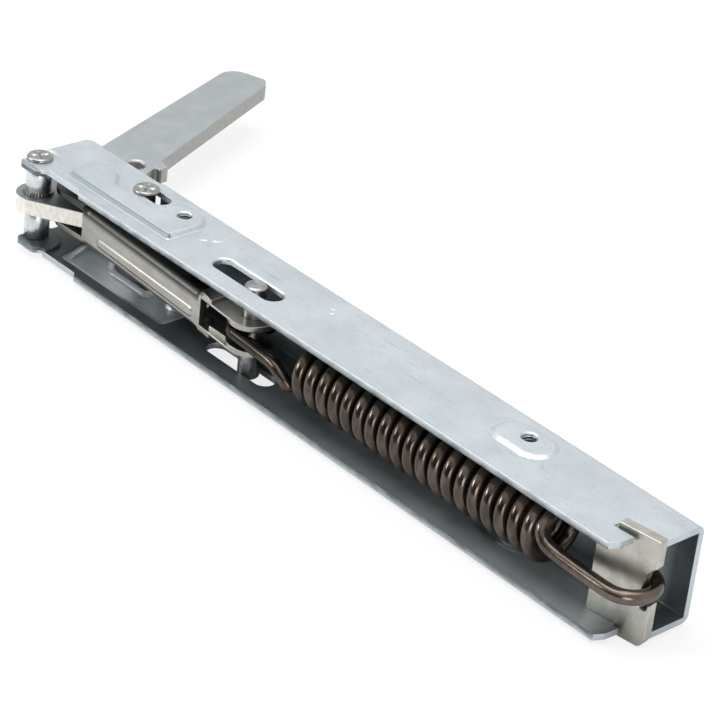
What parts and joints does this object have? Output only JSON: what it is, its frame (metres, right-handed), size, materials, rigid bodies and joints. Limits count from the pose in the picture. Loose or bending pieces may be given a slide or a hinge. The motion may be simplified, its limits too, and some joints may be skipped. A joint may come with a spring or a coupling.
{
  "type": "oven door hinge",
  "caption": "Oven door hinge: folded steel case with a pivoting arm, traction link, sliding pins and a tension spring hooked on an anchor plate.",
  "frame": {"origin": "on the arm's pivot axis, halfway between the case's two flanges", "axes": "+X along the case from the pivot to the spring's anchor, +Y from the case's open side to its web, +Z along the pivot axis, up as the hinge lies on its flange"},
  "size_m": [0.2323, 0.0938, 0.0248],
  "materials": {
    "zinc_plate": "satin zinc plating, dark inside",
    "pin_steel": "bare turned steel, staked heads",
    "spacer_steel": "bright drawn tube",
    "spacer_steel_low": "bright drawn tube",
    "anchor_steel": "rolled plate, cream tint",
    "arm_steel": "matt rolled plate, bright cut edges",
    "link_nickel": "rolled bare nickel tint",
    "link_pin_steel": "bare turned steel, staked heads",
    "traction_pin_steel": "ground pin",
    "slot_pin_steel": "bare turned steel, staked heads",
    "tempered_wire": "dark brown oil-tempered wire"
  },
  "bodies": {
    "case": {"case": "zinc_plate", "pivot_pin": "pin_steel", "upper_spacer": "spacer_steel", "lower_spacer": "spacer_steel_low", "anchor_plate": "anchor_steel", "tension_spring": "tempered_wire"},
    "arm": {"arm": "arm_steel"},
    "traction_pin": {"traction_pin": "traction_pin_steel"},
    "traction_link": {"traction_link": "link_nickel", "link_pin": "link_pin_steel"},
    "slot_pin": {"slot_pin": "slot_pin_steel"}
  },
  "joints": [
    {"name": "arm_pivot", "type": "hinge", "parent": "case", "child": "arm", "pos_m": [0, 0, 0], "axis": [0, 0, 1], "range_deg": [-22, 68]},
    {"name": "traction_slide", "type": "slide", "parent": "case", "child": "traction_pin", "axis": [1, 0, 0], "range_m": [-0.01085, 0.00355], "deforming": ["tension_spring"]},
    {"name": "link_swing", "type": "hinge", "parent": "traction_pin", "child": "traction_link", "pos_m": [0.0752, 0.0036, 0], "axis": [0, 0, 1], "range_deg": [-3.6, 1.3]},
    {"name": "slot_pin_slide", "type": "slide", "parent": "case", "child": "slot_pin", "axis": [1, 0, 0], "range_m": [0, 0.0054]}
  ],
  "couplings": [
    {"joint": "traction_slide", "follows": "arm_pivot", "m_per_rad": -0.00912},
    {"joint": "link_swing", "follows": "arm_pivot", "ratio": -0.051}
  ]
}
